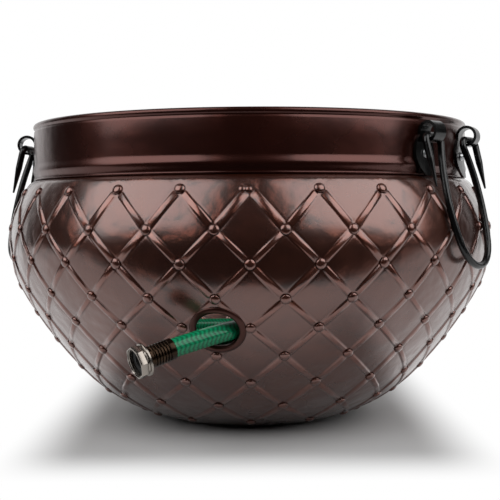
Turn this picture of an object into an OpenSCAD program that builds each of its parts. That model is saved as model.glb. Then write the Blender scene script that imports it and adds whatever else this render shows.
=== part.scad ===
// Garden hose pot: a pressed and painted steel bowl with a separate neck band,
// two iron bail handles that hang in bolted hooks, and a coiled hose whose
// coupling comes out of an outlet low in the wall.
// Millimetres. +Z is up, the outlet faces -Y, and the origin is the centre of the
// flat base. An azimuth is counted from -Y toward +X.

/* [Bowl] */
// Thickness of the sheet that the bowl and the neck band are pressed from
sheet = 1.2; // [0.8:0.1:1.6]
// Radius of the flat base
base_r = 88; // [80:1:94]
// Slope of the wall where it leaves the base, in degrees
base_slope = 9.8; // [8:0.1:11]
// Radius of the curve that rises from the base
bottom_curve = 207; // [200:1:212]
// Angle that this curve turns through
bottom_turn = 37.6; // [36:0.1:39]
// Radius of the long curve of the lower wall
wall_curve = 480; // [450:5:520]
// Angle that the long curve turns through
wall_turn = 13.7; // [12:0.1:15]
// Radius of the curve round the belly
belly_curve = 111.8; // [106:0.2:118]
// Radius of the shoulder that turns in under the neck band
shoulder_curve = 14; // [11:0.5:17]
// Height of the bowl's collar, which stands inside the neck band
collar_h = 34; // [31:1:42]
// Diameter of the drain hole in the base
drain_d = 12; // [6:1:20]

/* [Neck band] */
// Outer radius of the neck's wall
neck_r = 256.6; // [252:0.2:261]
// Height of the neck band, from the shoulder to the top of the rim
neck_h = 65.6; // [62:0.2:72]
// How far the ledge stands out of the neck's wall
ledge_out = 2.4; // [1.6:0.2:3]
// Height of the ledge
ledge_h = 12; // [10:1:13]
// How far the neck's wall leans out on its way up
neck_flare = 0.9; // [0.5:0.1:1.1]
// Radius of the rolled rim
roll_r = 3.5; // [3.2:0.1:4]

/* [Outlet] */
// Azimuth of the outlet
outlet_az = -7.3; // [-9:0.1:-6]
// Height of the outlet's centre on the wall
outlet_z = 128; // [126:0.5:131]
// Diameter of the grommet's opening
outlet_d = 43; // [41:0.5:46]
// Outer diameter of the grommet
grommet_d = 57; // [52:0.5:62]
// How far the grommet stands proud of the wall
grommet_out = 1.8; // [1.4:0.1:2.4]

/* [Hooks] */
// Thickness of the hooks' plate and strap
hook_t = 3; // [2.5:0.1:3.4]
// Width of the oval plate
plate_w = 32; // [28:1:36]
// Length of the oval plate
plate_l = 52; // [48:1:54]
// Width of the strap
strap_w = 18; // [16:0.5:18.5]
// Inner radius of the eye
eye_r = 8.5; // [8.2:0.1:9.5]
// Height of the eye's centre above the bolt
eye_rise = 22; // [20:0.5:23]
// Height of the bolt above the shoulder
bolt_rise = 23; // [22:0.5:24]
// Diameter of the hook bolts
bolt_d = 6; // [5:0.5:6.5]
// Diameter of the bolts' round heads
bolt_head_d = 10; // [9:0.5:12]
// Outer diameter of the washers inside the neck
washer_d = 16; // [13:0.5:18]
// Thickness of these washers
washer_t = 1.5; // [1:0.1:2]
// Width of the bolts' nuts across the flats
hook_nut_w = 10; // [9:0.5:12]
// Thickness of the bolts' nuts
hook_nut_t = 5; // [4:0.5:6]

/* [Bail handles] */
// Azimuth of the middle of the right handle
right_az = 54.8; // [50:0.2:60]
// Azimuth of the middle of the left handle
left_az = -99; // [-105:0.5:-94]
// Angle between a handle's middle and each of its hooks
hook_half_angle = 9.8; // [9.4:0.1:10.4]
// Diameter of the rod
rod_d = 7.5; // [6.5:0.1:7.8]
// Distance from the middle of an eye to the leg and to the tail beside it
leg_offset = 17; // [16.6:0.1:18]
// Radius of the bends beside the eyes, at the rod's centre
rod_bend = 7.5; // [6:0.1:7.8]
// Angle that the legs splay by below the eyes
leg_splay = 24; // [21:0.1:25]
// Radius of the legs' long curve
leg_curve = 148.6; // [142:0.2:156]
// Radius of the curve round the handle's bottom
grip_curve = 37.5; // [35:0.5:40]
// Length of the tails, below the hinge line
tail_l = 55; // [45:1:62]
// Length of the tails' taper
taper_l = 30; // [15:1:36]
// Room between the resting handle and the belly, for the belly's raised ribs
rest_gap = 2; // [2:0.1:4]

/* [Hose] */
// Outer diameter of the hose
hose_d = 19; // [18:0.1:19.4]
// Distance from one turn of the coil to the next, and from layer to layer
turn_pitch = 19.8; // [19.8:0.1:20.4]
// Azimuth at which the coil begins
coil_az = 75; // [72:1:78]
// Height that the coil's free end climbs by in its last half turn
end_lift = 7; // [6:0.5:10]
// Slope of the coil's straight free end, in degrees
end_slope = 14; // [12:1:18]

/* [Couplings] */
// Outer diameter of the crimped ferrules, over their ribs
ferrule_d = 22.4; // [21:0.2:24]
// Length of the ferrules
ferrule_l = 29; // [25:1:33]
// Ribs on each ferrule
ferrule_ribs = 6; // [4:1:8]
// Width of the swivel nut across its corners
nut_w = 32.4; // [31.6:0.2:35]
// Length of the swivel nut
nut_l = 12; // [11:0.5:14]
// Bore of the swivel nut's thread
nut_bore = 27.2; // [26.8:0.1:27.6]
// Diameter of the waterway through the fittings
waterway_d = 12; // [9:0.5:13]
// Outer diameter of the male coupling's thread
male_d = 26.4; // [25:0.2:27]
// Length of the male coupling's thread
male_l = 12; // [10:0.5:15]

/* [Hidden] */
$fn = 64;

// Clearances
seat_gap = 0.3;      // between pieces that lie on each other
bolt_gap = 0.3;      // round a bolt's shank, on the radius
run_gap = 0.1;       // round a turning or pushed-in fitting, on the radius
far = 400;           // longer than anything that it cuts

// Point at a radius and an angle from a centre
function polar(centre, radius, angle) = centre + radius * [cos(angle), sin(angle)];
// Points along an arc
function arc(centre, radius, from, to, steps) =
    [for (i = [0:steps]) polar(centre, radius, from + (to - from) * i / steps)];
function unit(v) = v / norm(v);
// Smooth step from 0 to 1 as t goes from 0 to 1
function ease(t) = t <= 0 ? 0 : t >= 1 ? 1 : (1 - cos(180 * t)) / 2;
function reversed(list) = [for (i = [len(list) - 1:-1:0]) list[i]];

// Bowl's outer profile as a chain of tangent arcs, in (radius, height).
// Each arc's angle is its normal's, counted from level.
collar_r = neck_r - sheet - seat_gap;
foot_angle = base_slope - 90;
wall_angle = foot_angle + bottom_turn;
belly_angle = wall_angle + wall_turn;
bottom_centre = [base_r, 0] - bottom_curve * [cos(foot_angle), sin(foot_angle)];
wall_centre = polar(bottom_centre, bottom_curve - wall_curve, wall_angle);
belly_centre = polar(wall_centre, wall_curve - belly_curve, belly_angle);
shoulder_lip = 1.9;  // how far the collar stands outside the shoulder's crest
shoulder_angle = acos((collar_r - shoulder_lip - belly_centre[0]) / (belly_curve - shoulder_curve));
shoulder_centre = polar(belly_centre, belly_curve - shoulder_curve, shoulder_angle);
collar_angle = acos(shoulder_lip / shoulder_curve);
shoulder_z = shoulder_centre[1] + shoulder_curve * sin(collar_angle);
belly_r = belly_centre[0] + belly_curve;
rim_z = shoulder_z + neck_h;

// Profile of the bowl's wall, at a distance inside its outer face
function wall_line(depth) = let(inner_foot = asin((depth - bottom_centre[1]) / (bottom_curve - depth)))
    concat(arc(bottom_centre, bottom_curve - depth, depth > 0 ? inner_foot : foot_angle, wall_angle, 10),
           arc(wall_centre, wall_curve - depth, wall_angle, belly_angle, 6),
           arc(belly_centre, belly_curve - depth, belly_angle, shoulder_angle, 16),
           arc(shoulder_centre, shoulder_curve - depth, shoulder_angle,
               depth > 0 ? acos((shoulder_lip - depth) / (shoulder_curve - depth)) : collar_angle, 6));
// Radius of the wall's outer face at a height on its long lower curve
function wall_r_at(z) = wall_centre[0] + sqrt(pow(wall_curve, 2) - pow(z - wall_centre[1], 2));

// Neck band's outer face, at a height above the shoulder
hem_r = sheet;
ledge_foot = 2 * hem_r + seat_gap;
roll_out = 0.5;      // how far the rolled rim stands outside the neck's wall
roll_centre = [neck_r + neck_flare + roll_out - roll_r, rim_z - roll_r];
function neck_face(h) = neck_r + neck_flare * h / neck_h
    + (h > ledge_foot && h < ledge_foot + ledge_h
       ? ledge_out * (1 - cos(360 * (h - ledge_foot) / ledge_h)) / 2 : 0);

// Outlet: its centre on the wall's outer face, and how far its axis points down
outlet_r = wall_r_at(outlet_z);
outlet_dip = asin((wall_centre[1] - outlet_z) / wall_curve);
grommet_t = 1.5;     // wall of the grommet's throat
throat_in = 3;       // how far the throat reaches inside the wall's outer face

// Hooks, on the outside of the neck
bolt_z = shoulder_z + bolt_rise;
plate_in = neck_face(bolt_rise) + seat_gap;
eye_z = bolt_z + eye_rise;
eye_out = eye_r + hook_t;
eye_at = plate_in + eye_out;
eye_end = -110;      // angle at which the curled strap ends
ledge_peak = shoulder_z + ledge_foot + ledge_h / 2;
bend_z = bolt_z + 6; // above this height the plate is straight
plate_bend = (pow(bend_z - ledge_peak, 2) + pow(ledge_out, 2)) / (2 * ledge_out);
hook_angles = [right_az - hook_half_angle, right_az + hook_half_angle,
               left_az + hook_half_angle, left_az - hook_half_angle];
head_t = 4;
// The round head seats on the plate's bend, below the bolt
head_at = plate_in + plate_bend + run_gap
    - sqrt(pow(plate_bend - hook_t, 2) - pow(bend_z - bolt_z + bolt_head_d / 2, 2));
washer_at = sqrt(pow(collar_r - sheet, 2) - pow(washer_d / 2, 2)) - run_gap;
bolt_tail = 1.5;     // length of thread that shows past the nut

// Bail handles
rod_r = rod_d / 2;
eye_x = eye_at * sin(hook_half_angle);
hinge_r = eye_at * cos(hook_half_angle);
pin_shift = strap_w / 2 * tan(hook_half_angle);
pin_drop = sqrt(pow(eye_r - rod_r - seat_gap, 2) - pow(pin_shift, 2));
pin_z = eye_z - pin_drop;
leg_x = eye_x - leg_offset;
leg_centre = [leg_x + rod_bend - (rod_bend + leg_curve) * cos(leg_splay),
              -rod_bend - (rod_bend + leg_curve) * sin(leg_splay)];
grip_angle = acos(-leg_centre[0] / (leg_curve - grip_curve));
grip_z = leg_centre[1] - (leg_curve - grip_curve) * sin(grip_angle);
tip_r = 1;
// The handle leans out by the least angle at which all of its loop clears the belly
loop_points = concat([for (a = [-grip_angle:2:leg_splay]) polar(leg_centre, leg_curve, a)],
                     [for (a = [-90:6:-grip_angle]) polar([0, grip_z], grip_curve, a)]);
function off_belly(p, lean) = let(out = hinge_r - p[1] * sin(lean), up = pin_z + p[1] * cos(lean))
    norm([norm([p[0], out]), up] - belly_centre) - belly_curve - rod_r;
rest_lean = [for (lean = [8:0.1:24])
    if (min([for (p = loop_points) off_belly(p, lean)]) >= rest_gap) lean][0];

// Hose: the free end's face and heading, then its route back into the pot
hose_r = hose_d / 2;
nut_face = [-109, -304, 103];
nut_heading = -150;
nut_dip = 16.4;
hose_out = [cos(nut_heading) * cos(nut_dip), sin(nut_heading) * cos(nut_dip), -sin(nut_dip)];
nut_back = 2.2;      // thickness of the swivel nut's rear wall
nut_thread = 4.8;    // length of its thread, in front of a relief that holds the washer
nut_relief = 0.4;    // depth of the relief, on the radius
neck_play = 0.3;     // room for the nut between the tailpiece's flange and the ferrule
hose_end = nut_face - (nut_l + neck_play + ferrule_l) * hose_out;
lead_points = [[-54, -271, 120], [-29, -252, 125.5], [-9, -231, 127.5], [16, -211, 125], [45, -194, 119],
               [77, -180, 108], [109, -159, 92.5], [138, -130, 76], [162, -98, 64]];

// Fittings
stem_r = 8;          // part of a fitting's stem that reaches into the hose
neck_tube_r = 9;     // tube that the swivel nut turns on
flange_r = nut_bore / 2 - 0.5;
flange_t = 1.5;
flange_seat = ferrule_l + 2 * neck_play + nut_back;   // from the hose's end to the tailpiece's flange
rubber_t = 3;

// Coil: four layers that follow the bowl's bottom curve
layer_turns = [6, 5, 4.25, 3.5];
rings_per_turn = 24;
coil_depth = sheet + seat_gap + hose_r;   // of the lowest layer, inside the bowl's outer face
inner_slope = 8.3;                        // angle on the bottom curve of the lowest layer's inmost turn
function layer_radius(k) = bottom_curve - coil_depth - k * turn_pitch;
function layer_step(k) = turn_pitch / layer_radius(k) * 180 / PI;
// Angle on the bottom curve at which each layer begins
layer_from = [inner_slope + layer_turns[0] * layer_step(0), inner_slope,
              inner_slope + layer_turns[1] * layer_step(1),
              inner_slope + layer_turns[1] * layer_step(1) - layer_turns[2] * layer_step(2)];
// Turns wound before each layer begins
layer_start = [0, layer_turns[0], layer_turns[0] + layer_turns[1],
               layer_turns[0] + layer_turns[1] + layer_turns[2]];
coil_turns = layer_start[3] + layer_turns[3];
function layer_of(turn) = turn < layer_start[1] ? 0
    : turn < layer_start[2] ? 1
    : turn < layer_start[3] ? 2 : 3;
function coil_slope(turn) = let(k = layer_of(turn))
    layer_from[k] + (k % 2 == 0 ? -1 : 1) * (turn - layer_start[k]) * layer_step(k);
start_in = 1.2;      // how far the coil's straight start stands off the bowl
// A climb takes the half turn about each reversal, and the free end lifts in its last half turn
function coil_radius(turn) = layer_radius(0) - start_in * ease(1 - 2 * turn)
    - end_lift * ease((turn - coil_turns + 0.5) / 0.5)
    - turn_pitch * (ease(2 * (turn - layer_start[1]) + 0.5) + ease(2 * (turn - layer_start[2]) + 0.5)
                    + ease(2 * (turn - layer_start[3]) + 0.5));
function coil_point(turn) = let(r = bottom_centre[0] + coil_radius(turn) * sin(coil_slope(turn)),
                                a = coil_az - 90 + 360 * turn)
    [r * cos(a), r * sin(a), bottom_centre[1] - coil_radius(turn) * cos(coil_slope(turn))];
coil_rings = [for (i = [0:coil_turns * rings_per_turn]) coil_point(i / rings_per_turn)];
start_run = unit(coil_point(0.001) - coil_rings[0]);
coil_start = coil_rings[0] - hose_d * start_run;
last_ring = coil_rings[len(coil_rings) - 1];
last_run = last_ring - coil_rings[len(coil_rings) - 2];
end_run = [unit([last_run[0], last_run[1]])[0] * cos(end_slope),
           unit([last_run[0], last_run[1]])[1] * cos(end_slope), sin(end_slope)];
coil_end = last_ring + hose_d * end_run;
coil_path = concat([coil_start], coil_rings, [coil_end]);
end_heading = atan2(end_run[1], end_run[0]);

// Hose tube along a path, with flat ends square to its first and last runs
function path_run(path, i) = unit(path[min(i + 1, len(path) - 1)] - path[max(i - 1, 0)]);
function ring_points(centre, run, sides) = let(side = unit(cross(run, [0, 0, 1])), up = cross(side, run))
    [for (j = [0:sides - 1]) centre + hose_r * (cos(360 * j / sides) * side + sin(360 * j / sides) * up)];
function tube_runs(path, first, last) =
    [for (i = [0:len(path) - 1]) i == 0 ? first : i == len(path) - 1 ? last : path_run(path, i)];
function tube_faces(rings, sides) = concat(
    [for (i = [0:rings - 2], j = [0:sides - 1]) let(a = i * sides, k = (j + 1) % sides)
        [a + j, a + k, a + sides + j]],
    [for (i = [0:rings - 2], j = [0:sides - 1]) let(a = i * sides, k = (j + 1) % sides)
        [a + k, a + sides + k, a + sides + j]],
    [for (j = [1:sides - 2]) [0, j + 1, j]],
    [for (j = [1:sides - 2]) let(a = (rings - 1) * sides) [a, a + j, a + j + 1]]);
module hose_tube(path, sides, first, last) {
    runs = tube_runs(path, first, last);
    polyhedron([for (i = [0:len(path) - 1]) each ring_points(path[i], runs[i], sides)],
               tube_faces(len(path), sides));
}

// Least gap between the coil and itself, from each ring's centre to the runs half a turn or more away
function gap_to_run(p, a, b) = let(t = max(0, min(1, (p - a) * (b - a) / ((b - a) * (b - a)))))
    norm(p - a - t * (b - a));
function coil_gap() = min([for (i = [0:2:len(coil_rings) - 14], j = [i + 12:len(coil_rings) - 2])
    gap_to_run(coil_rings[i], coil_rings[j], coil_rings[j + 1])]) - hose_d;
coil_runs = [for (i = [1:len(coil_path) - 1]) norm(coil_path[i] - coil_path[i - 1])];
coil_length = coil_runs * [for (run = coil_runs) 1];

// Turns local +Y to face outward at an azimuth
module at_azimuth(angle) rotate([0, 0, angle + 180]) children();
// Moves local +Z onto a heading that dips below level
module along(origin, heading, dip) translate(origin) rotate([0, 90 + dip, heading]) children();
module on_outlet() translate([outlet_r * sin(outlet_az), -outlet_r * cos(outlet_az), outlet_z])
    rotate([0, 90 + outlet_dip, outlet_az - 90]) children();
module bar(radius, from, to) translate([0, 0, from]) cylinder(r = radius, h = to - from);
// Bar across the neck's wall, along local +Y
module cross_bar(radius, from, to)
    translate([0, from, bolt_z]) rotate([-90, 0, 0]) cylinder(r = radius, h = to - from);

module bowl() {
    outer = wall_line(0);
    inner = wall_line(sheet);
    top = shoulder_z + collar_h;
    color("#5a3a30") difference() {
        rotate_extrude($fn = 128)
            polygon(concat([[drain_d / 2, 0]], outer, [[collar_r, top], [collar_r - sheet, top]],
                           reversed(inner), [[drain_d / 2, sheet]]));
        on_outlet() bar(outlet_d / 2 + grommet_t + run_gap, -20, 20);
        for (angle = hook_angles) at_azimuth(angle)
            cross_bar(bolt_d / 2 + bolt_gap, collar_r - 20, collar_r + 20);
    }
}

module neck_band() {
    foot = hem_r + seat_gap;
    top = neck_h - 1.55 * roll_r;   // inside the rolled edge
    heights = [for (i = [0:4]) foot + (ledge_foot - foot) * i / 4];
    ledge = [for (i = [1:12]) ledge_foot + ledge_h * i / 12];
    face = [for (h = concat(heights, ledge, [top])) [neck_face(h), shoulder_z + h]];
    color("#4a2c24") difference() {
        rotate_extrude($fn = 128) {
            difference() {
                union() {
                    polygon(concat(face, reversed([for (p = face) p - [sheet, 0]])));
                    translate([neck_r, shoulder_z + foot]) circle(r = hem_r, $fn = 24);
                    translate(roll_centre) circle(r = roll_r, $fn = 40);
                }
                translate(roll_centre) circle(r = roll_r - sheet, $fn = 40);
                // Seam between the rolled edge and the wall
                translate([neck_face(top) - sheet - 1, rim_z - 2 * roll_r]) square([0.9, roll_r]);
            }
        }
        for (angle = hook_angles) at_azimuth(angle)
            cross_bar(bolt_d / 2 + bolt_gap, neck_r - 20, neck_r + 20);
    }
}

module rim_wire() {
    color("dimgray") rotate_extrude($fn = 128) translate(roll_centre)
        circle(r = roll_r - sheet - run_gap, $fn = 32);
}

// Follows the wall, with a throat through it
module outlet_grommet() {
    band_from = seat_gap;
    color("#3a2018") difference() {
        union() {
            intersection() {
                rotate_extrude($fn = 128) polygon(concat(
                    arc(wall_centre, wall_curve + band_from, wall_angle + 1, belly_angle + 1, 10),
                    arc(wall_centre, wall_curve + grommet_out, belly_angle + 1, wall_angle + 1, 10)));
                on_outlet() bar(grommet_d / 2, -20, 20);
            }
            on_outlet() bar(outlet_d / 2 + grommet_t, -throat_in, grommet_out - 0.3);
        }
        on_outlet() bar(outlet_d / 2, -20, 20);
    }
}

// Oval plate that follows the neck and its ledge, in one piece with the strap that curls into the eye
module hook(angle) {
    centre = [plate_in + plate_bend, bend_z];
    span = asin(min(0.95, (bend_z - bolt_z + plate_l / 2 + 4) / plate_bend));
    top = bolt_z + plate_l / 2 + 4;
    inner_line = concat([[plate_in, top]], arc(centre, plate_bend, 180, 180 + span, 14));
    outer_line = concat([[plate_in + hook_t, top]], arc(centre, plate_bend - hook_t, 180, 180 + span, 14));
    color("#161616") at_azimuth(angle) difference() {
        union() {
            intersection() {
                rotate_extrude($fn = 128) polygon(concat(inner_line, reversed(outer_line)));
                translate([0, 0, bolt_z]) rotate([-90, 0, 0]) linear_extrude(far)
                    oval(plate_w / 2, plate_l / 2);
            }
            translate([-strap_w / 2, 0, 0]) rotate([90, 0, 90]) linear_extrude(strap_w) strap_side();
        }
        cross_bar(bolt_d / 2 + bolt_gap, neck_r - 20, neck_r + 30);
    }
}

// Oval as the overlap of two large circles, with points rounded off by the plate's width
module oval(half_w, half_l) {
    side = (half_w * half_w + half_l * half_l) / (2 * half_w);
    intersection() {
        translate([side - half_w, 0]) circle(r = side, $fn = 120);
        translate([half_w - side, 0]) circle(r = side, $fn = 120);
        square([2 * half_w, 2 * half_l - 5], center = true);
    }
}

// Strap from the side: up from the plate, over, and back under the rod
module strap_side() {
    reach = 2 * eye_out;
    strap_foot = bolt_z + bolt_head_d / 2 + 1;
    translate([plate_in, strap_foot]) square([hook_t, eye_z - strap_foot]);
    translate([eye_at, eye_z]) difference() {
        circle(r = eye_out);
        circle(r = eye_r);
        polygon([[0, 0], [-reach, 0], [-reach, -reach], reach * [cos(eye_end), sin(eye_end)]]);
    }
}

module hook_bolts() {
    color("#1a1a1a") for (angle = hook_angles) at_azimuth(angle) {
        cross_bar(bolt_d / 2, washer_at - washer_t - hook_nut_t - bolt_tail, head_at + 1);
        // Round head
        intersection() {
            cross_bar(bolt_head_d / 2, head_at, head_at + head_t);
            translate([0, head_at - bolt_head_d / 5, bolt_z])
                sphere(r = sqrt(pow(bolt_head_d / 2, 2) + pow(bolt_head_d / 5, 2)));
        }
    }
}

module hook_washers() {
    color("silver") for (angle = hook_angles) at_azimuth(angle) difference() {
        cross_bar(washer_d / 2, washer_at - washer_t, washer_at);
        cross_bar(bolt_d / 2 + bolt_gap, washer_at - washer_t - 1, washer_at + 1);
    }
}

module hook_nuts() {
    color("silver") for (angle = hook_angles) at_azimuth(angle) difference() {
        translate([0, washer_at - washer_t - hook_nut_t, bolt_z]) rotate([-90, 0, 0])
            cylinder(r = hook_nut_w / sqrt(3), h = hook_nut_t, $fn = 6);
        cross_bar(bolt_d / 2 + run_gap, 0, far);
    }
}

// Bend in the rod, in the handle's own plane
module rod_arc(centre, radius, from, to) translate([centre[0], 0, centre[1]]) rotate([90, 0, 0])
    rotate([0, 0, from]) rotate_extrude(angle = to - from) translate([radius, 0]) circle(r = rod_r, $fn = 24);

// Ball in which two runs of the rod meet, a hair larger than the rod so that the joint is sound
module rod_joint(x, z) translate([x, 0, z]) sphere(r = rod_r + 0.05, $fn = 24);

// Half of a handle, for x above 0: its hinge line is the x axis and its loop hangs below
module bail_half() {
    pin_half = leg_offset - rod_bend;
    tail_x = eye_x + leg_offset;
    leg_top = polar(leg_centre, leg_curve, leg_splay);
    leg_foot = polar(leg_centre, leg_curve, -grip_angle);
    translate([eye_x - pin_half, 0, 0]) rotate([0, 90, 0]) cylinder(r = rod_r, h = 2 * pin_half, $fn = 24);
    rod_joint(eye_x + pin_half, 0);
    rod_arc([eye_x + pin_half, -rod_bend], rod_bend, 0, 90);
    rod_joint(tail_x, -rod_bend);
    rod_joint(eye_x - pin_half, 0);
    rod_arc([eye_x - pin_half, -rod_bend], rod_bend, 90, 180 + leg_splay);
    rod_joint(leg_top[0], leg_top[1]);
    rod_arc(leg_centre, leg_curve, -grip_angle, leg_splay);
    rod_joint(leg_foot[0], leg_foot[1]);
    rod_arc([0, grip_z], grip_curve, -90, -grip_angle);
    rod_joint(0, grip_z - grip_curve);
    translate([tail_x, 0, taper_l - tail_l]) cylinder(r = rod_r, h = tail_l - taper_l - rod_bend, $fn = 24);
    translate([tail_x, 0, -tail_l]) cylinder(r1 = tip_r, r2 = rod_r, h = taper_l, $fn = 24);
}

module bail(angle) {
    color("#141414") at_azimuth(angle) translate([0, hinge_r, pin_z]) rotate([rest_lean, 0, 0]) {
        bail_half();
        mirror([1, 0, 0]) bail_half();
    }
}

module hose_lead() {
    color("#128f5c") hose_tube(concat([hose_end], lead_points, [coil_start]), 8, -hose_out, start_run);
}

module hose_coil() {
    echo(coil_gap = coil_gap(), coil_length = coil_length);
    color("#128f5c") hose_tube(coil_path, 6, start_run, end_run);
}

// Crimped ferrule with rounded ribs, from the hose's end
module ferrule() {
    rib = (ferrule_l - 4) / ferrule_ribs;
    difference() {
        union() {
            bar(ferrule_d / 2 - 1, 0, ferrule_l);
            for (i = [0:ferrule_ribs - 1]) translate([0, 0, 2 + rib * (i + 0.5)])
                rotate_extrude() translate([ferrule_d / 2 - 1, 0]) circle(r = 1, $fn = 16);
        }
        bar(stem_r + run_gap, -1, ferrule_l + 1);
    }
}

module hose_ferrule() {
    color("#2a2119") along(hose_end, nut_heading, nut_dip) ferrule();
}

module tailpiece() {
    seat = ferrule_l + neck_play / 2;
    color("silver") along(hose_end, nut_heading, nut_dip) difference() {
        union() {
            bar(stem_r, 2, seat);
            bar(neck_tube_r, seat, flange_seat + flange_t);
            bar(flange_r, flange_seat, flange_seat + flange_t);
        }
        bar(waterway_d / 2, 0, far);
    }
}

module coupling_washer() {
    seat = flange_seat + flange_t + run_gap;
    color("#202020") along(hose_end, nut_heading, nut_dip) difference() {
        bar(flange_r - run_gap, seat, seat + rubber_t);
        bar(waterway_d / 2 + 1, seat - 1, seat + rubber_t + 1);
    }
}

// Octagonal nut with a round collar behind
module swivel_nut() {
    collar_l = 2.6;
    color("silver") along(nut_face - nut_l * hose_out, nut_heading, nut_dip) difference() {
        union() {
            cylinder(r = nut_w / 2, h = nut_l, $fn = 8);
            bar(nut_w / 2 + 0.2, 0, collar_l);
        }
        bar(nut_bore / 2, nut_back, nut_l + 1);
        bar(nut_bore / 2 + nut_relief, nut_back, nut_l - nut_thread);
        bar(neck_tube_r + run_gap, -1, nut_l);
    }
}

module inner_ferrule() {
    color("#2a2119") along(coil_end, end_heading, -end_slope) ferrule();
}

module male_coupling() {
    collar_l = 6;
    seat = ferrule_l + seat_gap;
    color("silver") along(coil_end, end_heading, -end_slope) difference() {
        union() {
            bar(stem_r, 2, seat);
            translate([0, 0, seat]) cylinder(r = male_d / 2 + 1.6, h = collar_l, $fn = 8);
            bar(male_d / 2 - 1, seat + collar_l, seat + collar_l + male_l);
            for (i = [0:3]) translate([0, 0, seat + collar_l + 2.5 + i * 2.4]) rotate_extrude()
                translate([male_d / 2 - 1, 0]) circle(r = 1, $fn = 12);
        }
        bar(waterway_d / 2, 0, far);
    }
}

bowl();
neck_band();
rim_wire();
outlet_grommet();
hook(hook_angles[0]);  // hook_right_front
hook(hook_angles[1]);  // hook_right_rear
hook(hook_angles[2]);  // hook_left_front
hook(hook_angles[3]);  // hook_left_rear
hook_bolts();
hook_washers();
hook_nuts();
bail(right_az);  // bail_right
bail(left_az);  // bail_left
hose_lead();
hose_coil();
hose_ferrule();
tailpiece();
coupling_washer();
swivel_nut();
inner_ferrule();
male_coupling();
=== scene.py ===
# Garden hose pot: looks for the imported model. A quilted sheet-metal bowl with a copper-bronze
# coat, a plain neck band, black iron handles and a green hose that leaves low in the wall.
import math

import bmesh
import bpy
import numpy as np
from mathutils import Matrix, Vector


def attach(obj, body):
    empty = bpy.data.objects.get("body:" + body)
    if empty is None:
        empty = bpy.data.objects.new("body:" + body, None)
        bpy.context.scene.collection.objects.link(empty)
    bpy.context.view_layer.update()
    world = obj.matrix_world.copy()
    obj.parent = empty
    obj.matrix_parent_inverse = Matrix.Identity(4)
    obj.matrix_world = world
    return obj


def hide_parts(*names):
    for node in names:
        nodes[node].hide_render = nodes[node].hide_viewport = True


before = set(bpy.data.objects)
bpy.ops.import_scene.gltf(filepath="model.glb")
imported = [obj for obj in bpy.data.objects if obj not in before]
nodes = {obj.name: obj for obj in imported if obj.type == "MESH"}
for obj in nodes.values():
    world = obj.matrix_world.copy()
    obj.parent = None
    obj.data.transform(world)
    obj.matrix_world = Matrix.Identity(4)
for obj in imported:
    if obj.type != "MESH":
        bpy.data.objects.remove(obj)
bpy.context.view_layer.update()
scene = bpy.context.scene

# Camera: stands 1.29 m in front of the pot's axis, 24 cm above the floor, and looks almost level
# through a long lens, as the photograph was taken.
camera_at = (0, -1.29, 0.243)
tilt_down, camera_roll = 1.97, -0.32  # degrees
camera_data = bpy.data.cameras.new("camera")
camera_data.sensor_width = 36
camera_data.lens = 75.96
camera_data.clip_start = 0.02
camera = bpy.data.objects.new("camera", camera_data)
camera.matrix_world = (
    Matrix.Translation(camera_at)
    @ Matrix.Rotation(math.radians(90 - tilt_down), 4, "X")
    @ Matrix.Rotation(math.radians(camera_roll), 4, "Z")
)
scene.collection.objects.link(camera)
scene.camera = camera


# Hose: 15 m of green PVC hose, 19 mm thick, extruded over a knitted yarn that shows faintly
# through its glossy skin. It runs from the crimped coupling through the outlet, and lies coiled in
# the pot's bottom in four layers.
MM = 0.001
hose_r = 9.5 * MM
hose_end = Vector((-74.688, -284.19, 114.661)) * MM
hose_out = Vector((-0.83079, -0.479657, -0.282341))
lead_points = [(-54, -271, 120), (-29, -252, 125.5), (-9, -231, 127.5), (16, -211, 125), (45, -194, 119),
               (77, -180, 108), (109, -159, 92.5), (138, -130, 76), (162, -98, 64)]
# The coil lies on the arc in which the pot's wall leaves its base
bottom_across, bottom_up, bottom_curve = 52.767, 203.979, 207
coil_depth = 11                       # of the lowest layer's middle, inside the wall's outer face
layer_turns = (6, 5, 4.25, 3.5)
layer_start = [sum(layer_turns[:k]) for k in range(len(layer_turns))]
coil_turns = sum(layer_turns)
turn_pitch = 19.8
inner_slope = 8.3                     # of the lowest layer's inmost turn, in degrees along the arc
coil_az = 75                          # where the coil starts, in degrees from -Y toward +X
start_in, end_lift = 1.2, 7           # how far its start stands off the wall, and its end off the coil
end_slope = math.radians(14)
rings_per_turn = 40


def ease(t):
    """Rises smoothly from 0 to 1."""
    t = min(max(t, 0.0), 1.0)
    return (1 - math.cos(math.pi * t)) / 2


def layer_radius(k):
    """Radius of the curve on which the turns of a layer lie."""
    return bottom_curve - coil_depth - k * turn_pitch


def layer_step(k):
    """Degrees along that curve from one turn of the layer to the next."""
    return math.degrees(turn_pitch / layer_radius(k))


layer_from = [inner_slope + layer_turns[0] * layer_step(0), inner_slope,
              inner_slope + layer_turns[1] * layer_step(1),
              inner_slope + layer_turns[1] * layer_step(1) - layer_turns[2] * layer_step(2)]


def coil_point(turn):
    """Middle of the hose at a turn of the coil, whose layers wind inwards and outwards in turn."""
    k = sum(turn >= start for start in layer_start[1:])
    slope = math.radians(layer_from[k] + (-1 if k % 2 == 0 else 1) * (turn - layer_start[k]) * layer_step(k))
    radius = layer_radius(0) - start_in * ease(1 - 2 * turn)
    radius -= end_lift * ease((turn - coil_turns + 0.5) / 0.5)
    radius -= turn_pitch * sum(ease(2 * (turn - start) + 0.5) for start in layer_start[1:])
    across, up = bottom_across + radius * math.sin(slope), bottom_up - radius * math.cos(slope)
    angle = math.radians(coil_az - 90 + 360 * turn)
    return Vector((across * math.cos(angle), across * math.sin(angle), up)) * MM


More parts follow.
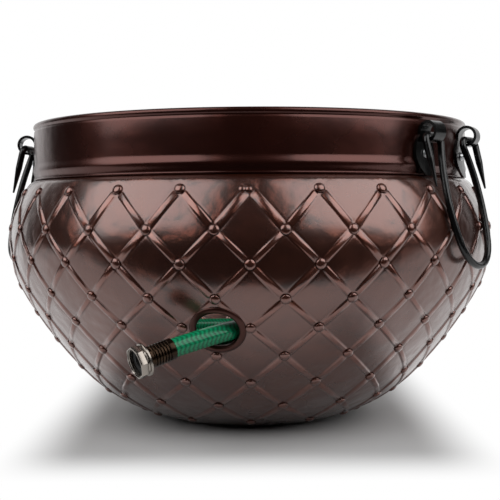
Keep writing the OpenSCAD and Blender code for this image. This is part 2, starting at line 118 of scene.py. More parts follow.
def smooth_run(points, steps):
    """Points on one smooth curve that passes through the given ones."""
    run = []
    for i in range(1, len(points) - 2):
        a, b, c, d = points[i - 1:i + 3]
        for step in range(steps):
            t = step / steps
            run.append(0.5 * (2 * b + (c - a) * t + (2 * a - 5 * b + 4 * c - d) * t * t
                              + (3 * b - a - 3 * c + d) * t ** 3))
    return run


coil = [coil_point(i / rings_per_turn) for i in range(int(coil_turns * rings_per_turn) + 1)]
coil_start = coil[0] - 2 * hose_r * (coil_point(0.001) - coil[0]).normalized()
level = (coil[-1] - coil[-2]) * Vector((1, 1, 0))
end_run = level.normalized() * math.cos(end_slope) + Vector((0, 0, math.sin(end_slope)))
coil_end = coil[-1] + 2 * hose_r * end_run
lead = [hose_end + 20 * MM * hose_out, hose_end]
lead += [Vector(p) * MM for p in lead_points] + [coil_start, coil[0]]
route = smooth_run(lead, 6) + [coil_start] + coil + [coil_end]
route = [p for i, p in enumerate(route) if i == 0 or (p - route[i - 1]).length > 1e-5]

hose_sides = 16
bm = bmesh.new()
bmesh.ops.create_grid(bm, x_segments=hose_sides, y_segments=len(route) - 1, size=1)
uv = bm.loops.layers.uv.new("UVMap")
run_length = np.concatenate([[0], np.cumsum([(b - a).length for a, b in zip(route, route[1:])])])
for face in bm.faces:
    for loop in face.loops:
        ring = round((loop.vert.co.y + 1) / 2 * (len(route) - 1))
        loop[uv].uv = ((loop.vert.co.x + 1) / 2, run_length[ring])
for vert in bm.verts:
    ring = round((vert.co.y + 1) / 2 * (len(route) - 1))
    run = (route[min(ring + 1, len(route) - 1)] - route[max(ring - 1, 0)]).normalized()
    side = run.cross(Vector((0, 0, 1))).normalized()
    turn = -math.pi * (vert.co.x + 1)
    vert.co = route[ring] + hose_r * (math.cos(turn) * side + math.sin(turn) * side.cross(run))
bmesh.ops.remove_doubles(bm, verts=bm.verts, dist=1e-6)
bmesh.ops.holes_fill(bm, edges=[e for e in bm.edges if e.is_boundary])
bmesh.ops.recalc_face_normals(bm, faces=bm.faces)


def make_piece(name, bm, body="pot", replaces=(), sharp=30):
    """Turns a bmesh into a piece that rides on a body, shaded smooth except at its sharp edges."""
    mesh = bpy.data.meshes.new(name)
    bm.to_mesh(mesh)
    bm.free()
    mesh.shade_smooth()
    mesh.set_sharp_from_angle(angle=math.radians(sharp))
    piece = bpy.data.objects.new(name, mesh)
    scene.collection.objects.link(piece)
    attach(piece, body)
    if replaces:
        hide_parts(*replaces)
    return piece


def colour(text):
    """Linear colour of an sRGB hex value."""
    levels = [int(text[i:i + 2], 16) / 255 for i in (1, 3, 5)]
    return [v / 12.92 if v <= 0.04045 else ((v + 0.055) / 1.055) ** 2.4 for v in levels] + [1]


def new_material(name):
    """An empty node material with its output, and the tree that holds them."""
    material = bpy.data.materials.new(name)
    material.use_nodes = True
    material.node_tree.nodes.clear()
    return material, material.node_tree


def add(tree, kind, inputs=None, **settings):
    """Adds a node with its settings; an input is a value or another node's output."""
    node = tree.nodes.new("ShaderNode" + kind)
    for name, value in settings.items():
        setattr(node, name, value)
    for socket, value in (inputs or {}).items():
        if isinstance(value, bpy.types.NodeSocket):
            tree.links.new(value, node.inputs[socket])
        else:
            node.inputs[socket].default_value = value
    return node


hose = make_piece("hose", bm, replaces=("hose_lead", "hose_coil"), sharp=60)

# Glossy PVC: a smooth extruded skin, a little uneven, over yarn that crosses in chevrons.
# The yarn's real pitch of 3 mm is drawn at 5 mm, so that it shows.
green_pvc, tree = new_material("green_pvc_hose")
place = add(tree, "UVMap", uv_map="UVMap")
split = add(tree, "SeparateXYZ", {0: place.outputs[0]})
strand = add(tree, "Math", {0: split.outputs[0], 1: 6.0}, operation="MULTIPLY")
zigzag = add(tree, "Math", {0: strand.outputs[0], 1: 0.5}, operation="PINGPONG")
along_hose = add(tree, "Math", {0: split.outputs[1], 1: 200.0}, operation="MULTIPLY")
chevron = add(tree, "Math", {0: along_hose.outputs[0], 1: zigzag.outputs[0]}, operation="ADD")
yarn = add(tree, "Math", {0: chevron.outputs[0], 1: 0.5}, operation="PINGPONG")
yarn_tone = add(tree, "ValToRGB", {0: yarn.outputs[0]})
yarn_tone.color_ramp.elements[0].color = colour("#014D31")
yarn_tone.color_ramp.elements[1].position = 0.5
yarn_tone.color_ramp.elements[1].color = colour("#03895B")
yarn_bump = add(tree, "Bump", {"Height": yarn.outputs[0], "Strength": 0.25, "Distance": 0.0006})
skin = add(tree, "BsdfPrincipled", {
    "Base Color": yarn_tone.outputs[0], "Roughness": 0.45, "Specular IOR Level": 0.15, "Coat Weight": 0.35,
    "Coat Roughness": 0.05, "Normal": yarn_bump.outputs[0]})
add(tree, "OutputMaterial", {0: skin.outputs[0]})
hose.data.materials.append(green_pvc)

# Couplings: crimped ferrules of dark bronze anodised aluminium, each a sleeve with six rolled
# grooves that bite the hose on its stem. The dyed metal shines softly, and is paler in worn patches
# of about 8 mm.
ferrule_section = [(8.2, 0), (10.1, 0), (10.6, 0.5), (10.6, 5.2), (11, 5.6)]
for groove in (7, 10.1, 13.2, 16.3, 19.4, 22.5):
    ferrule_section += [(11.1, groove - 1.1), (10.9, groove - 0.75), (9.8, groove - 0.4), (9.8, groove + 0.4),
                        (10.9, groove + 0.75), (11.1, groove + 1.1)]
ferrule_section += [(11, 24), (10.6, 24.4), (10.6, 28.5), (10.1, 29), (8.2, 29)]


def swept(section, sides, point_at):
    """A closed section swept once round; point_at places each of its points at each turn."""
    bm = bmesh.new()
    bmesh.ops.create_grid(bm, x_segments=sides, y_segments=len(section), size=1)
    for vert in bm.verts:
        turn = math.pi * (vert.co.x + 1)
        vert.co = point_at(turn, *section[round((vert.co.y + 1) / 2 * len(section)) % len(section)])
    bmesh.ops.remove_doubles(bm, verts=bm.verts, dist=1e-6)
    bmesh.ops.recalc_face_normals(bm, faces=bm.faces)
    return bm


def turned(section, sides, place):
    """A closed section of (radius, height) in millimetres, swept round the Z axis and placed."""
    def point_at(turn, radius, height):
        return place @ (Vector((radius * math.cos(turn), radius * math.sin(turn), height)) * MM)
    return swept(section, sides, point_at)


def along(start, run):
    """Place whose Z axis starts at a point and follows a heading."""
    return Matrix.Translation(start) @ run.to_track_quat("Z", "Y").to_matrix().to_4x4()


bronze_anodised, tree = new_material("dark_bronze_anodised_aluminium")
place = add(tree, "TexCoord")
grain = add(tree, "TexNoise", {"Vector": place.outputs["Object"], "Scale": 900.0, "Detail": 3.0})
wear = add(tree, "TexNoise", {"Vector": place.outputs["Object"], "Scale": 120.0, "Detail": 4.0})
tone = add(tree, "ValToRGB", {0: wear.outputs[0]})
tone.color_ramp.elements[0].position = 0.35
tone.color_ramp.elements[0].color = colour("#21170F")
tone.color_ramp.elements[1].position = 0.75
tone.color_ramp.elements[1].color = colour("#3E2D1F")
grain_bump = add(tree, "Bump", {"Height": grain.outputs[0], "Strength": 0.15, "Distance": 0.0003})
skin = add(tree, "BsdfPrincipled", {
    "Base Color": tone.outputs[0], "Metallic": 0.9, "Roughness": 0.26, "Normal": grain_bump.outputs[0]})
add(tree, "OutputMaterial", {0: skin.outputs[0]})
outer_ferrule = make_piece("outer_ferrule", turned(ferrule_section, 64, along(hose_end, hose_out)),
                           replaces=("hose_ferrule",), sharp=40)
far_ferrule = make_piece("far_ferrule", turned(ferrule_section, 64, along(coil_end, end_run)),
                         replaces=("inner_ferrule",), sharp=40)
for piece in (outer_ferrule, far_ferrule):
    piece.data.materials.append(bronze_anodised)

# Turned aluminium of the tailpiece and of the male coupling on the hose's inner end: bright, with
# tool marks of 1 to 2 mm.
turned_aluminium, tree = new_material("turned_aluminium")
place = add(tree, "TexCoord")
marks = add(tree, "TexNoise", {"Vector": place.outputs["Object"], "Scale": 700.0, "Detail": 2.0})
marks_bump = add(tree, "Bump", {"Height": marks.outputs[0], "Strength": 0.12, "Distance": 0.0003})
roughness = add(tree, "MapRange", {"Value": marks.outputs[0], "To Min": 0.2, "To Max": 0.36})
skin = add(tree, "BsdfPrincipled", {
    "Base Color": colour("#D8D2CA"), "Metallic": 1.0, "Roughness": roughness.outputs[0],
    "Normal": marks_bump.outputs[0]})
add(tree, "OutputMaterial", {0: skin.outputs[0]})
for name in ("tailpiece", "male_coupling"):
    nodes[name].material_slots[0].material = turned_aluminium

# Washer: moulded black rubber inside the nut, matt with a faint moulding grain.
black_rubber, tree = new_material("moulded_black_rubber")
place = add(tree, "TexCoord")
grain = add(tree, "TexNoise", {"Vector": place.outputs["Object"], "Scale": 1500.0, "Detail": 2.0})
grain_bump = add(tree, "Bump", {"Height": grain.outputs[0], "Strength": 0.2, "Distance": 0.0002})
skin = add(tree, "BsdfPrincipled", {
    "Base Color": colour("#1A1A1A"), "Roughness": 0.75, "Normal": grain_bump.outputs[0]})
add(tree, "OutputMaterial", {0: skin.outputs[0]})
nodes["coupling_washer"].material_slots[0].material = black_rubber

# Swivel nut: machined from an octagonal aluminium bar, with a round flange behind, a turned waist,
# a thin front rim, and the hose thread cut inside. It turns on the tailpiece's tube.
nut_l = 12
nut_face = Vector((-109, -304, 103))  # middle of its front
nut_heading, nut_dip = -150, 16.4     # degrees
# Its outline: height from the back, radius, and how far the eight flats are cut there, from 0 to 1
nut_section = [(0, 15.6, 0), (0.4, 16.4, 0), (1.9, 16.4, 0), (2.4, 16.0, 0), (2.9, 14.6, 0), (3.9, 14.5, 0),
               (4.5, 15.0, 0.6), (5.1, 15.9, 1), (5.7, 16.2, 1), (11.3, 16.2, 1), (11.9, 15.9, 1),
               (nut_l, 15.5, 1), (nut_l, 14.5, 0.5), (11.6, 14.0, 0)]
for crest in (10.2, 8.2, 6.2, 4.2):
    nut_section += [(crest + 0.75, 13.9, 0), (crest + 0.3, 13.1, 0), (crest - 0.3, 13.1, 0),
                    (crest - 0.75, 13.9, 0)]
nut_section += [(2.3, 13.9, 0), (2.2, 13.6, 0), (2.2, 9.4, 0), (2.0, 9.1, 0), (0.2, 9.1, 0), (0, 9.4, 0)]
nut_place = (
    Matrix.Translation(nut_face * MM - nut_l * MM * hose_out)
    @ Matrix.Rotation(math.radians(nut_heading), 4, "Z")
    @ Matrix.Rotation(math.radians(90 + nut_dip), 4, "Y")
)


def nut_point(turn, height, radius, flats):
    """Point on the nut, whose eight flats are cut whole where flats is 1."""
    off_flat = math.fmod(turn, math.pi / 4) - math.pi / 8
    octagon = math.cos(math.pi / 8) / math.cos(off_flat)
    radius *= 1 + flats * (octagon - 1)
    return nut_place @ (Vector((radius * math.cos(turn), radius * math.sin(turn), height)) * MM)


nut = make_piece("hose_nut", swept(nut_section, 96, nut_point), body="swivel_nut",
                 replaces=("swivel_nut",), sharp=28)

# Bright nickel plate over the machined bar: soft highlights, made slightly uneven by tool marks of
# about 2 mm.
nickel_plate, tree = new_material("nickel_plated_nut")
place = add(tree, "TexCoord")
marks = add(tree, "TexNoise", {"Vector": place.outputs["Object"], "Scale": 500.0, "Detail": 3.0})
marks_bump = add(tree, "Bump", {"Height": marks.outputs[0], "Strength": 0.12, "Distance": 0.0003})
roughness = add(tree, "MapRange", {"Value": marks.outputs[0], "To Min": 0.2, "To Max": 0.34})
skin = add(tree, "BsdfPrincipled", {
    "Base Color": colour("#8B847D"), "Metallic": 1.0, "Roughness": roughness.outputs[0],
    "Normal": marks_bump.outputs[0]})
add(tree, "OutputMaterial", {0: skin.outputs[0]})
nut.data.materials.append(nickel_plate)

# Bowl: a round bowl drawn from steel sheet that was first embossed with crossing ribs, and a domed
# stud at each crossing. Its wall rises from a flat base and turns in at the shoulder, where a plain
# collar stands up inside the neck band. The rows of studs stand closer where the sheet was drawn in.
stud_pitch = 69                       # between two studs of one row
studs_round = 26
# Rows are counted down from the top one, in pitches: each as its place and its height on the wall
row_heights = [(-0.12, 276.2), (0, 268), (0.5, 228), (1, 194.5), (1.5, 160), (2, 130), (2.5, 99.5),
               (3, 68), (3.5, 38.7), (4, 13), (4.15, 8)]
stud_rows = 9
last_row = (stud_rows - 1) / 2
# The wall's arcs from the base up, each as its centre's radius and height, and its own radius
lower_arc = (-148.188, 388.767, 480)
wall_arcs = [(bottom_across, bottom_up, bottom_curve), lower_arc, (174.158, 210.822, 111.8),
             (253.2, 268.417, 14)]
arc_tops = (63.86, 156.8, 276.67)     # heights at which one arc meets the next
# Across a cell, from one rib's middle to the next: share of the cell, and height over the sheet
rib_lines = [(0, 1.35), (0.035, 1.3), (0.054, 0.9), (0.075, -0.25), (0.105, -0.05), (0.15, 0), (0.5, 0.3),
             (0.85, 0), (0.895, -0.05), (0.925, -0.25), (0.946, 0.9), (0.965, 1.3), (1, 1.35)]
rib_foot = 0.07                       # share of a cell at which a rib ends
groove_r, groove_in = 6.8, 0.5        # of the sunk ring round each stud
collar_r, collar_top = 255.1, 316.29
base_r, drain_r = 88, 6
sheet = 1.2                           # thickness
hole_r, lip_r = 22.6, 28.5            # of the outlet
outlet_az, outlet_up = math.radians(-7.3), 128


def wall_at(height, out=0.0):
    """Radius and height on the wall's outer face, or a distance outside it."""
    across, centre, radius = wall_arcs[sum(height > top for top in arc_tops)]
    slope = math.asin(max(-1, min(1, (height - centre) / radius)))
    return across + (radius + out) * math.cos(slope), centre + (radius + out) * math.sin(slope)


# The outlet's axis is square to the wall
outlet_dip = math.asin((lower_arc[1] - outlet_up) / lower_arc[2])
outlet_level = Vector((math.sin(outlet_az), -math.cos(outlet_az), 0))
outlet_centre = wall_at(outlet_up)[0] * outlet_level + Vector((0, 0, outlet_up))
outlet_axis = math.cos(outlet_dip) * outlet_level - Vector((0, 0, math.sin(outlet_dip)))


def azimuth_at(u, radius):
    """Azimuth of a column of the lattice. Columns keep their pitch over the front, and share the rest
    of the way round behind. The change of pitch is spread over two columns."""
    front = math.radians(60)
    front_u = front * radius / stud_pitch
    total = 0
    for shift in (-1, -0.5, 0, 0.5, 1):
        at = u + shift
        if abs(at) <= front_u:
            total += at * stud_pitch / radius
        else:
            rest = front + (abs(at) - front_u) * (math.pi - front) / (studs_round / 2 - front_u)
            total += math.copysign(rest, at)
    return total / 5


def on_wall(u, v, out):
    """Point at column u and row v of the lattice, a distance outside the wall."""
    height = float(np.interp(v, *zip(*row_heights)))
    azimuth = azimuth_at(u, wall_at(height)[0])
    across, up = wall_at(height, out)
    return Vector((across * math.sin(azimuth), -across * math.cos(azimuth), up))


def off_outlet(spot):
    """Distance from the outlet's axis, which is counted only near the outlet."""
    away = spot - outlet_centre
    return away.cross(outlet_axis).length if away.length < 60 else 99


def rib_at(off):
    """Height of a rib over the sheet, at a share of a cell from its middle."""
    return float(np.interp(off, *zip(*rib_lines)))


# A grid with its lines along the ribs is turned to the rows, cut to whole columns and rows, and
# laid on the wall
cells, first_p, first_q = 31, -14, -17
steps = len(rib_lines) - 1
bm = bmesh.new()
bmesh.ops.create_grid(bm, x_segments=cells * steps, y_segments=cells * steps, size=0.5)
crest = bm.verts.layers.float.new("crest")
for vert in bm.verts:
    for axis, first in ((0, first_p), (1, first_q)):
        count = round((vert.co[axis] + 0.5) * cells * steps)
        vert.co[axis] = first + count // steps + rib_lines[count % steps][0]
ribs_to_rows = Matrix(((0.5, 0.5, 0, 0), (0.5, -0.5, 0, 0), (0, 0, 1, 0), (0, 0, 0, 1)))
bmesh.ops.transform(bm, verts=bm.verts, matrix=ribs_to_rows)
for point, normal in (((studs_round / 2, 0, 0), (1, 0, 0)), ((-studs_round / 2, 0, 0), (-1, 0, 0)),
                      ((0, row_heights[-1][0], 0), (0, 1, 0)), ((0, row_heights[0][0], 0), (0, -1, 0))):
    bmesh.ops.bisect_plane(bm, geom=bm.verts[:] + bm.edges[:] + bm.faces[:], dist=1e-5,
                           plane_co=point, plane_no=normal, clear_outer=True)
for vert in bm.verts:
    u, v = vert.co.x, vert.co.y
    p, q = u + v, u - v
    p_off, q_off = abs(p - round(p)), abs(q - round(q))
    rib = max(rib_at(p_off), rib_at(q_off))
    if min(p_off, q_off) > rib_foot:
        rib = min(rib_at(p_off), rib_at(q_off))
    off_stud = math.hypot(p_off, q_off) * stud_pitch / math.sqrt(2)
    rib *= ease((v + 0.02) / 0.04) * ease((last_row + 0.02 - v) / 0.04)
    rib *= ease((off_stud - groove_r + 1.5) / 2.4)
    rib -= groove_in * (1 - ease((off_stud - groove_r) / 1.2))
    rib *= ease((off_outlet(on_wall(u, v, 0)) - lip_r) / 4)
    # crest: share of the crest tone, painted highlight and wear, rising with the rib's height
    vert[crest] = ease(rib / 1.3)
    vert.co = on_wall(u, v, rib) * MM
bmesh.ops.remove_doubles(bm, verts=bm.verts, dist=2e-5)
# Plain sheet above and below the lattice: shoulder and collar, then the base round its drain hole
top = [e for e in bm.edges if e.is_boundary and e.verts[0].co.z > 0.2]
bottom = [e for e in bm.edges if e.is_boundary and e.verts[0].co.z < 0.1]
shoulder = [wall_at(up) for up in (278.5, 280.5, 281.8, 282.25)]
shoulder += [(collar_r, up) for up in (282.8, 300, collar_top)]
foot = [wall_at(up) for up in (5.5, 3.2, 1.4)] + [(base_r, 0), (drain_r, 0)]
for edges, rings in ((top, shoulder), (bottom, foot)):
    for across, up in rings:
        grown = bmesh.ops.extrude_edge_only(bm, edges=edges)["geom"]
        edges = [g for g in grown if isinstance(g, bmesh.types.BMEdge)]
        for vert in (g for g in grown if isinstance(g, bmesh.types.BMVert)):
            azimuth = math.atan2(vert.co.x, -vert.co.y)
            vert.co = Vector((across * math.sin(azimuth), -across * math.cos(azimuth), up)) * MM
            vert[crest] = 0
bmesh.ops.recalc_face_normals(bm, faces=bm.faces)
bowl = make_piece("quilted_bowl", bm, replaces=("bowl",), sharp=75)
wall = bowl.modifiers.new("sheet", "SOLIDIFY")
wall.thickness = sheet * MM
wall.offset = -1

# Punch for the outlet, which is cut square to the wall
bm = bmesh.new()
bmesh.ops.create_cone(bm, cap_ends=True, segments=72, radius1=hole_r * MM, radius2=hole_r * MM,
                      depth=50 * MM, matrix=along(outlet_centre * MM, outlet_axis))
punch_mesh = bpy.data.meshes.new("punch")
bm.to_mesh(punch_mesh)
bm.free()
punch = bpy.data.objects.new("punch", punch_mesh)
scene.collection.objects.link(punch)
hole = bowl.modifiers.new("outlet", "BOOLEAN")
hole.object = punch
hole.operation = "DIFFERENCE"
hole.solver = "EXACT"
bpy.context.view_layer.update()
punched = bpy.data.meshes.new_from_object(bowl.evaluated_get(bpy.context.evaluated_depsgraph_get()))
bowl.modifiers.clear()
bowl.data = punched
bpy.data.objects.remove(punch)

# Copper-bronze coat, baked over the steel: metal flake in a dark brown binder under a clear film.
# On the crests of the ribs a redder copper is painted in patches: partly the coat worn thin there, and
# partly a painted highlight where the crests catch the light. The sheet under it has dents of about 45
# and 17 mm, which break the reflections up, and the film an orange peel of 2 to 3 mm.
def bronze_coat(name, deep, pale, wear_and_highlight, flake, dents, gloss, blur):
    """The coat in three tones, the third painted on the crests as highlight and wear, with its share of
    metal flake, the depth of the sheet's dents in metres, and the weight and roughness of the clear film."""
    material, tree = new_material(name)
    place = add(tree, "TexCoord")
    cloud = add(tree, "TexNoise", {"Vector": place.outputs["Object"], "Scale": 9.0, "Detail": 5.0,
                                   "Roughness": 0.6})
    tone = add(tree, "ValToRGB", {0: cloud.outputs[0]})
    tone.color_ramp.elements[0].position = 0.3
    tone.color_ramp.elements[0].color = colour(deep)
    tone.color_ramp.elements[1].position = 0.7
    tone.color_ramp.elements[1].color = colour(pale)
    # The crest tone, in patches: partly painted highlight, partly worn coat
    crest_share = add(tree, "Attribute", attribute_name="crest")
    crest_patches = add(tree, "TexNoise", {"Vector": place.outputs["Object"], "Scale": 160.0, "Detail": 4.0})
    wear_and_highlight_mask = add(tree, "Math", {0: crest_share.outputs["Fac"], 1: crest_patches.outputs[0]}, operation="MULTIPLY")
    ripples = add(tree, "TexNoise", {"Vector": place.outputs["Object"], "Scale": 60.0, "Detail": 3.0})
    ripples_bump = add(tree, "Bump", {"Height": ripples.outputs[0], "Strength": 0.6, "Distance": dents / 4})
    coated = add(tree, "Mix", {"Factor": wear_and_highlight_mask.outputs[0], "A": tone.outputs[0], "B": colour(wear_and_highlight)},
                 data_type="RGBA")
    roughness = add(tree, "MapRange", {"Value": cloud.outputs[0], "From Min": 0.3, "From Max": 0.7,
                                       "To Min": blur, "To Max": blur + 0.1})
    waves = add(tree, "TexNoise", {"Vector": place.outputs["Object"], "Scale": 22.0, "Detail": 2.0})
    waves_bump = add(tree, "Bump", {"Height": waves.outputs[0], "Strength": 0.9, "Distance": dents,
                                    "Normal": ripples_bump.outputs[0]})
    peel = add(tree, "TexNoise", {"Vector": place.outputs["Object"], "Scale": 420.0, "Detail": 2.0})
    peel_bump = add(tree, "Bump", {"Height": peel.outputs[0], "Strength": 0.12, "Distance": 0.0003,
                                   "Normal": waves_bump.outputs[0]})
    skin = add(tree, "BsdfPrincipled", {
        "Base Color": [out for out in coated.outputs if out.enabled][0], "Metallic": flake,
        "Roughness": roughness.outputs[0], "Coat Weight": gloss, "Coat IOR": 1.78, "Coat Roughness": blur,
        "Normal": peel_bump.outputs[0]})
    add(tree, "OutputMaterial", {0: skin.outputs[0]})
    return material


# Its third tone is the crest tone, painted highlight and wear
copper_bronze = bronze_coat("copper_bronze_coat", "#471F13", "#572A1A", "#753D2C", 0.76, 0.006, 0.78, 0.22)
bowl.data.materials.clear()
bowl.data.materials.append(copper_bronze)

# Studs: domes pressed up at the crossings of the ribs, in nine rows, each row shifted by half
# a pitch from the next. Where the embossed sheet's pattern meets itself at the front, the top
# row has a pair of smaller ones.
stud_r, seam_stud_r = 5.8, 3.6
stud_rise = 0.47                      # share of its radius by which a stud stands out
seam_pair = [(-0.106, 0.01), (-0.012, 0.01)]
spots = [(-studs_round / 2 + column + (row % 2) / 2, row / 2)
         for row in range(stud_rows) for column in range(studs_round)]
spots.remove((0, 0))
bm = bmesh.new()
for u, v in spots + seam_pair:
    at, over = on_wall(u, v, 0), on_wall(u, v, 10)
    if off_outlet(at) < lip_r + 1.5:
        continue
    radius = (seam_stud_r if (u, v) in seam_pair else stud_r) * MM
    bmesh.ops.create_uvsphere(bm, u_segments=12, v_segments=6, radius=radius,
                              matrix=along(at * MM, over - at) @ Matrix.Diagonal((1, 1, stud_rise, 1)))
crest = bm.verts.layers.float.new("crest")
for vert in bm.verts:
    # Studs get less of the crest tone than the ribs: less painted highlight and wear
    vert[crest] = 0.6                 # less worn than the ribs
studs = make_piece("bowl_studs", bm, sharp=60)
studs.data.materials.append(copper_bronze)

# Outlet lip: a spun ring with its outer edge lying on the wall and its inner edge rolled into the
# hole, so that the hose can't chafe. Its coat is the bowl's in darker tones, as painted shade, and
# has hardly any clear film.
lip_section = [(23.2, -3.2), (21.8, -3.2), (21.5, -2), (21.5, 0), (21.8, 1.2), (22.7, 2.1), (24, 2.5),
               (25.6, 2.4), (27.2, 1.9), (28.3, 1.2), (28.6, 0.5), (28.0, 0.3), (26, 0.5), (24, 0.9),
               (23.2, 0.2)]
lip_up = outlet_axis.cross(Vector((0, 0, 1))).cross(outlet_axis).normalized()
lip_side = outlet_axis.cross(lip_up)


def lip_point(turn, radius, over):
    """Point on the ring. Its section moves with the wall, which curves away from the flat."""
    spot = outlet_centre + radius * (math.cos(turn) * lip_up + math.sin(turn) * lip_side)
    across = math.hypot(spot.x, spot.y)
    off_wall = math.hypot(across - lower_arc[0], spot.z - lower_arc[1]) - lower_arc[2]
    return (spot + (over - off_wall) * outlet_axis) * MM


lip = make_piece("outlet_lip", swept(lip_section, 96, lip_point),
                 replaces=("outlet_grommet",), sharp=50)
# Painted shade: the bowl's coat in darker tones
lip_shaded_bronze = bronze_coat("outlet_lip_shaded_coat", "#35170F", "#3F1D14", "#3F1D14", 0.75, 0.0012, 0.08, 0.3)
lip.data.materials.append(lip_shaded_bronze)

# Neck band: plain rolled sheet with a hem at its foot, a pressed ledge over it, and a rim rolled
# round a wire. It slips over the bowl's collar, and its coat is darker than the bowl's.
neck_r, neck_h, neck_flare, shoulder_z = 256.6, 65.6, 0.9, 282.288
ledge_foot, ledge_h, ledge_out = 2.7, 17, 2
rim_out, rim_r = 254.5, 3.5
rim_up = shoulder_z + neck_h - rim_r


def neck_face(h):
    """Radius of the band's outer face at a height over the shoulder."""
    share = min(max((h - ledge_foot) / ledge_h, 0), 1)
    return neck_r + neck_flare * h / neck_h + ledge_out / 2 * (1 - math.cos(math.tau * share))


def arc(across, up, radius, start, end, steps):
    """Points on an arc of the section, between two angles in degrees."""
    turns = (math.radians(start + (end - start) * i / steps) for i in range(steps + 1))
    return [(across + radius * math.cos(turn), up + radius * math.sin(turn)) for turn in turns]


outer_face = [(neck_face(h), shoulder_z + h) for h in np.linspace(2.9, 20.5, 25)]
neck_section = (arc(neck_r, shoulder_z + 1.5, sheet, -170, 55, 10) + outer_face
                + [(257.1, 320), (257.3, 337.6), (257.1, 338.9), (256.5, 339.8), (256.4, 340.7)]
                + arc(rim_out, rim_up, rim_r, -50, 235, 20) + [(253.6, 341.9), (255.5, 341.1), (255.9, 339.5)]
                + [(across - sheet, up) for across, up in reversed(outer_face)])
neck = make_piece("rolled_neck", turned(neck_section, 192, Matrix()), replaces=("neck_band",),
                  sharp=60)
dark_bronze = bronze_coat("dark_bronze_coat", "#3A140C", "#461B11", "#461B11", 0.8, 0.0012, 0.22, 0.21)
neck.data.materials.append(dark_bronze)

# Zinc-plated steel: the rim's wire, the hooks' bolts, and their washers and nuts inside the neck.
# Pale, with the blotchy bloom of plating, in spots of about 4 mm.
zinc_plate, tree = new_material("zinc_plated_steel")
place = add(tree, "TexCoord")
bloom = add(tree, "TexNoise", {"Vector": place.outputs["Object"], "Scale": 260.0, "Detail": 4.0})
tone = add(tree, "ValToRGB", {0: bloom.outputs[0]})
tone.color_ramp.elements[0].position = 0.3
tone.color_ramp.elements[0].color = colour("#A9ABAD")
tone.color_ramp.elements[1].position = 0.7
tone.color_ramp.elements[1].color = colour("#C9CACB")
roughness = add(tree, "MapRange", {"Value": bloom.outputs[0], "To Min": 0.25, "To Max": 0.5})
skin = add(tree, "BsdfPrincipled", {
    "Base Color": tone.outputs[0], "Metallic": 1.0, "Roughness": roughness.outputs[0]})
add(tree, "OutputMaterial", {0: skin.outputs[0]})
for name in ("rim_wire", "hook_bolts", "hook_washers", "hook_nuts"):
    nodes[name].material_slots[0].material = zinc_plate

# Hooks and bail handles: forged and bent iron under a black enamel, which shows the hammer's marks
# of about 11 mm and is duller where it rubs.
black_iron, tree = new_material("black_enamelled_iron")
place = add(tree, "TexCoord")
hammer = add(tree, "TexNoise", {"Vector": place.outputs["Object"], "Scale": 90.0, "Detail": 3.0})
dust = add(tree, "TexNoise", {"Vector": place.outputs["Object"], "Scale": 30.0, "Detail": 6.0})
tone = add(tree, "ValToRGB", {0: dust.outputs[0]})
tone.color_ramp.elements[0].position = 0.4
tone.color_ramp.elements[0].color = colour("#040404")
tone.color_ramp.elements[1].position = 0.8
tone.color_ramp.elements[1].color = colour("#0B0B0B")
hammer_bump = add(tree, "Bump", {"Height": hammer.outputs[0], "Strength": 0.3, "Distance": 0.001})
roughness = add(tree, "MapRange", {"Value": dust.outputs[0], "To Min": 0.14, "To Max": 0.34})
skin = add(tree, "BsdfPrincipled", {
    "Base Color": tone.outputs[0], "Roughness": roughness.outputs[0], "Specular IOR Level": 0.4,
    "Normal": hammer_bump.outputs[0]})
add(tree, "OutputMaterial", {0: skin.outputs[0]})
for name in ("hook_right_front", "hook_right_rear", "hook_left_front", "hook_left_rear", "bail_right",
             "bail_left"):
    nodes[name].material_slots[0].material = black_iron

# Floor: a pale studio table, whose front edge is just outside the picture. Round the pot its grey
# shows with the pot's cast shadow, in a rounded box that is a painted shadow; past that box it is
# burnt out to white.
table_front, table_half = -0.46, 3
bm = bmesh.new()
bmesh.ops.create_grid(bm, x_segments=1, y_segments=1, size=table_half,
                      matrix=Matrix.Translation((0, table_front + table_half, 0)))
floor_mesh = bpy.data.meshes.new("floor")
bm.to_mesh(floor_mesh)
bm.free()
floor = bpy.data.objects.new("floor", floor_mesh)
scene.collection.objects.link(floor)
pale_table, tree = new_material("pale_studio_table")
# Its grey, darker than the white past it, shows only inside the painted shadow
skin = add(tree, "BsdfPrincipled", {
    "Base Color": colour("#B8B8B8"), "Roughness": 0.9, "Specular IOR Level": 0.1})
burnt_out = add(tree, "Emission", {"Color": (1, 1, 1, 1), "Strength": 1.0})
place = add(tree, "TexCoord")
split = add(tree, "SeparateXYZ", {0: place.outputs["Object"]})
aside = add(tree, "Math", {0: split.outputs[0]}, operation="ABSOLUTE")
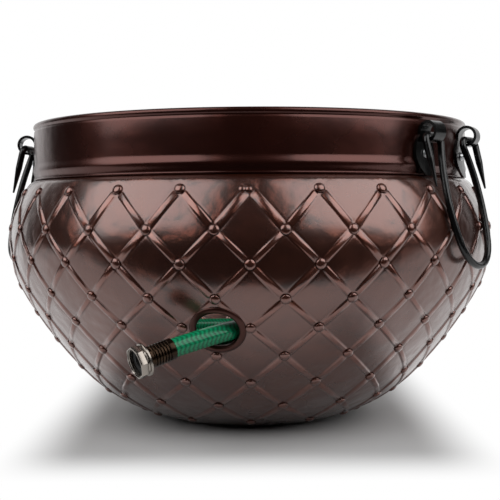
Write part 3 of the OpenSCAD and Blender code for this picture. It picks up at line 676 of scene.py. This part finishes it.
# The painted shadow is whole up to the first of two distances, in metres, and gone at the second
painted_shadow = 1.0
for spot, whole, gone in ((aside.outputs[0], 0.17, 0.26), (split.outputs[1], -0.21, -0.345),
                          (split.outputs[1], 0.3, 0.42)):
    inside = add(tree, "MapRange", {"Value": spot, "From Min": whole, "From Max": gone, "To Min": 1.0,
                                    "To Max": 0.0}, interpolation_type="SMOOTHSTEP")
    painted_shadow = add(tree, "Math", {0: painted_shadow, 1: inside.outputs[0]}, operation="MULTIPLY").outputs[0]
fade = add(tree, "Math", {0: 1.0, 1: painted_shadow}, operation="SUBTRACT")
path = add(tree, "LightPath")
seen = add(tree, "Math", {0: path.outputs["Is Camera Ray"], 1: path.outputs["Is Glossy Ray"]},
           operation="MAXIMUM")
seen = add(tree, "Math", {0: seen.outputs[0], 1: path.outputs["Is Transmission Ray"]}, operation="MAXIMUM")
share = add(tree, "Math", {0: fade.outputs[0], 1: seen.outputs[0]}, operation="MULTIPLY")
faded = add(tree, "MixShader", {0: share.outputs[0], 1: skin.outputs[0], 2: burnt_out.outputs[0]})
add(tree, "OutputMaterial", {0: faded.outputs[0]})
floor_mesh.materials.append(pale_table)

# Studio: a white sweep behind the pot, a dark room behind the camera, and two large softboxes on
# the left and the right of the camera, each leaning outwards. The camera sees white all round.
world = bpy.data.worlds.new("studio")
scene.world = world
world.use_nodes = True
world.node_tree.nodes.clear()
tree = world.node_tree
place = add(tree, "TexCoord")
split = add(tree, "SeparateXYZ", {0: place.outputs["Generated"]})
sweep = add(tree, "MapRange", {"Value": split.outputs[1], "From Min": 0.5, "From Max": 0.8, "To Min": 0.03,
                               "To Max": 1.0}, interpolation_type="SMOOTHSTEP")
path = add(tree, "LightPath")
seen = add(tree, "Math", {0: sweep.outputs[0], 1: path.outputs["Is Camera Ray"]}, operation="MAXIMUM")
sky = add(tree, "Background", {"Color": seen.outputs[0], "Strength": 1.0})
add(tree, "OutputWorld", {0: sky.outputs[0]})
softbox_aim, softbox_away = Vector((0, 0, 0.2)), 2.3
elevation = math.radians(38)
for name, azimuth, roll in (("softbox_left", -57, 18), ("softbox_right", 57, -18)):
    light = bpy.data.lights.new(name, "AREA")
    light.shape = "RECTANGLE"
    light.size = 2.4
    light.size_y = 2.2
    light.energy = 47
    lamp = bpy.data.objects.new(name, light)
    scene.collection.objects.link(lamp)
    towards = Vector((math.sin(math.radians(azimuth)) * math.cos(elevation),
                      -math.cos(math.radians(azimuth)) * math.cos(elevation), math.sin(elevation)))
    lamp.location = softbox_aim + softbox_away * towards
    turn = towards.to_track_quat("Z", "Y").to_matrix() @ Matrix.Rotation(math.radians(roll), 3, "Z")
    lamp.rotation_euler = turn.to_euler()

scene.view_settings.view_transform = "Standard"
